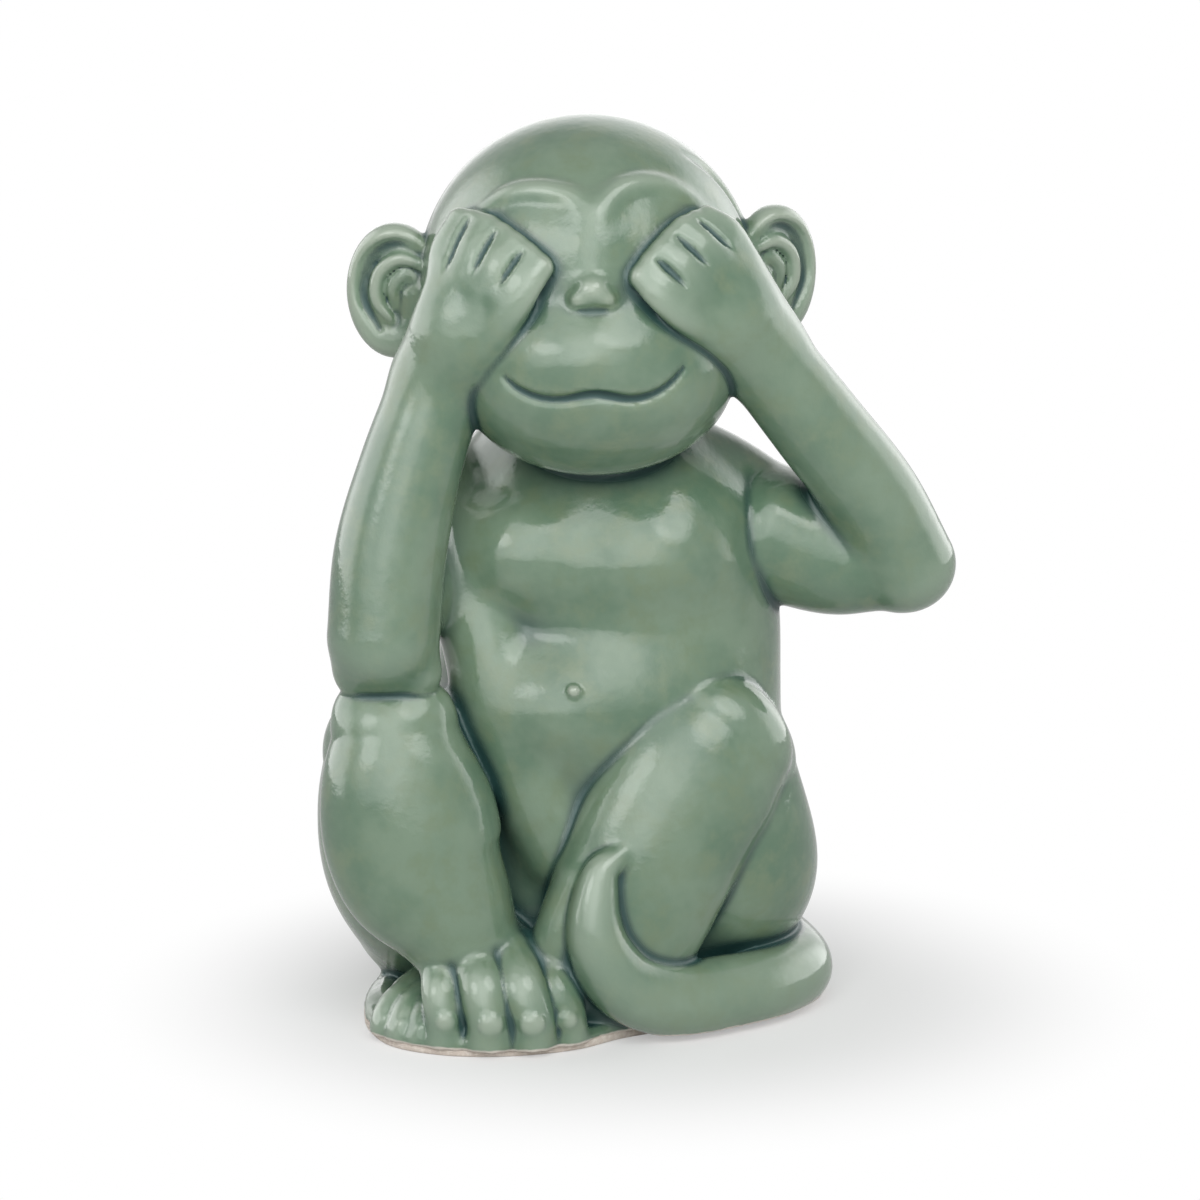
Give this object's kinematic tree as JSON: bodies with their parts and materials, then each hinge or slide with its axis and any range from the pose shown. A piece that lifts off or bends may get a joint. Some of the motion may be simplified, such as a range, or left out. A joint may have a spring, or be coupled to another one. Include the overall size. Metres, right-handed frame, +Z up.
{
  "type": "monkey figurine",
  "caption": "Seated monkey figurine in green glazed stoneware, hands over its eyes, on a flat bare foot ring.",
  "frame": {"origin": "middle of the bounding box at the ground, under the foot ring", "axes": "+Z up, face towards -Y, the monkey's left towards +X"},
  "size_m": [0.1337, 0.0917, 0.188],
  "materials": {
    "glaze": "glossy sage green celadon glaze, darker where it pools in creases",
    "bare_clay": "unglazed pale buff stoneware, matt"
  },
  "bodies": {
    "root": {"foot_ring": "bare_clay", "base_plate": "bare_clay", "torso": "glaze", "head": "glaze", "right_ear": "glaze", "left_ear": "glaze", "right_upper_arm": "glaze", "right_forearm": "glaze", "right_hand": "glaze", "left_upper_arm": "glaze", "left_forearm": "glaze", "left_hand": "glaze", "right_thigh": "glaze", "left_thigh": "glaze", "right_shin": "glaze", "left_shin": "glaze", "right_foot": "glaze", "left_foot": "glaze", "tail": "glaze"}
  },
  "joints": []
}
